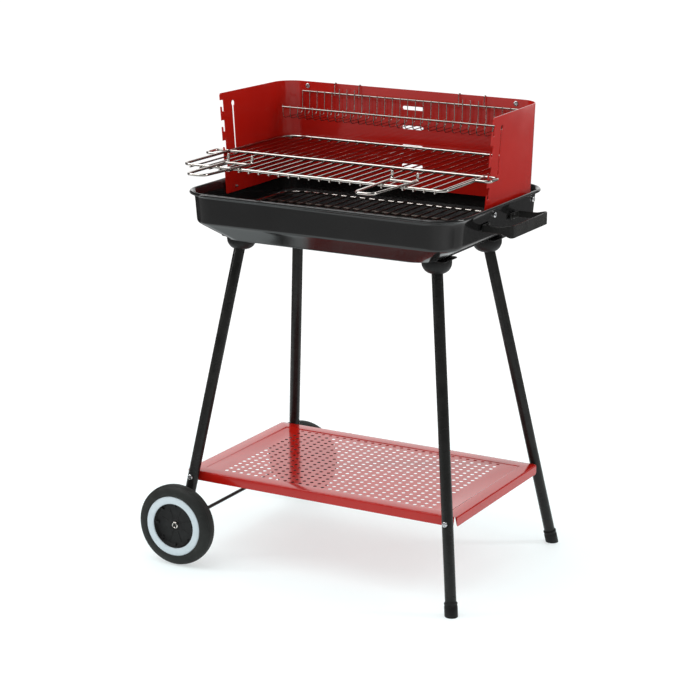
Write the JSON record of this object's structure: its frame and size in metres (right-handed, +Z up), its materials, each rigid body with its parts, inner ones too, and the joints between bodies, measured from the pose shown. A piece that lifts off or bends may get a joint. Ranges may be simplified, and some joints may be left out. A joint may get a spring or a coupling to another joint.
{
  "type": "charcoal trolley grill",
  "caption": "Charcoal trolley grill with a rectangular fire bowl, three-sided windshield, height-adjustable cooking grid, warming rack, shelf tray, splayed legs and wheels.",
  "frame": {"origin": "on the ground, under the centre of the whole grill", "axes": "+Z up, +X from the wheels to the side handle, -Y to the front, where the windshield is open"},
  "size_m": [0.655, 0.561, 0.8398],
  "materials": {
    "bowl_enamel": "glossy black enamel",
    "red_paint": "glossy red heat-resistant paint",
    "chrome_wire": "bright chromed wire",
    "black_paint": "semi-gloss black powder coat",
    "black_plastic": "moulded black plastic",
    "tyre": "matte black moulded tyre",
    "pale_trim": "pale blue-grey plastic ring",
    "zinc_fastener": "zinc plated"
  },
  "bodies": {
    "frame": {"fire_bowl": "bowl_enamel", "windshield": "red_paint", "side_handle": "black_paint", "lower_shelf": "red_paint", "axle": "black_paint", "windshield_bolt_front_left": "zinc_fastener", "windshield_bolt_rear_left": "zinc_fastener", "rack_stop_bolt_left": "zinc_fastener", "windshield_bolt_front_right": "zinc_fastener", "windshield_bolt_rear_right": "zinc_fastener", "rack_stop_bolt_right": "zinc_fastener", "handle_bolt_front": "zinc_fastener", "axle_nut_front": "zinc_fastener", "axle_washer_front": "zinc_fastener", "handle_bolt_rear": "zinc_fastener", "axle_nut_rear": "zinc_fastener", "axle_washer_rear": "zinc_fastener", "leg_front_left": "black_paint", "leg_cup_front_left": "black_plastic", "leg_plate_front_left": "black_paint", "leg_bolt_front_left": "zinc_fastener", "shelf_screw_front_left": "zinc_fastener", "leg_front_right": "black_paint", "leg_cup_front_right": "black_plastic", "leg_plate_front_right": "black_paint", "leg_bolt_front_right": "zinc_fastener", "shelf_screw_front_right": "zinc_fastener", "foot_cap_front_right": "black_plastic", "leg_rear_left": "black_paint", "leg_cup_rear_left": "black_plastic", "leg_plate_rear_left": "black_paint", "leg_bolt_rear_left": "zinc_fastener", "shelf_screw_rear_left": "zinc_fastener", "leg_rear_right": "black_paint", "leg_cup_rear_right": "black_plastic", "leg_plate_rear_right": "black_paint", "leg_bolt_rear_right": "zinc_fastener", "shelf_screw_rear_right": "zinc_fastener", "foot_cap_rear_right": "black_plastic"},
    "front_wheel": {"tyre_front": "tyre", "wheel_disc_front": "black_plastic", "wheel_trim_front": "pale_trim"},
    "rear_wheel": {"tyre_rear": "tyre", "wheel_disc_rear": "black_plastic", "wheel_trim_rear": "pale_trim"},
    "cooking_grid": {"cooking_grid": "chrome_wire", "grid_handle_left": "chrome_wire", "grid_handle_right": "chrome_wire"},
    "charcoal_grate": {"charcoal_grate": "chrome_wire"},
    "warming_rack": {"warming_rack": "chrome_wire"}
  },
  "joints": [
    {"name": "front_wheel_spin", "type": "hinge", "parent": "frame", "child": "front_wheel", "pos_m": [-0.2525, -0.19465, 0.075], "axis": [0, 1, 0], "continuous": true},
    {"name": "rear_wheel_spin", "type": "hinge", "parent": "frame", "child": "rear_wheel", "pos_m": [-0.2525, 0.26455, 0.075], "axis": [0, 1, 0], "continuous": true},
    {"name": "cooking_grid_lift", "type": "slide", "parent": "frame", "child": "cooking_grid", "axis": [0, 0, 1], "range_m": [0, 0.015]},
    {"name": "charcoal_grate_lift", "type": "slide", "parent": "frame", "child": "charcoal_grate", "axis": [0, 0, 1], "range_m": [0, 0.09]},
    {"name": "warming_rack_lift", "type": "slide", "parent": "frame", "child": "warming_rack", "axis": [0, 0, 1], "range_m": [0, 0.06]}
  ]
}
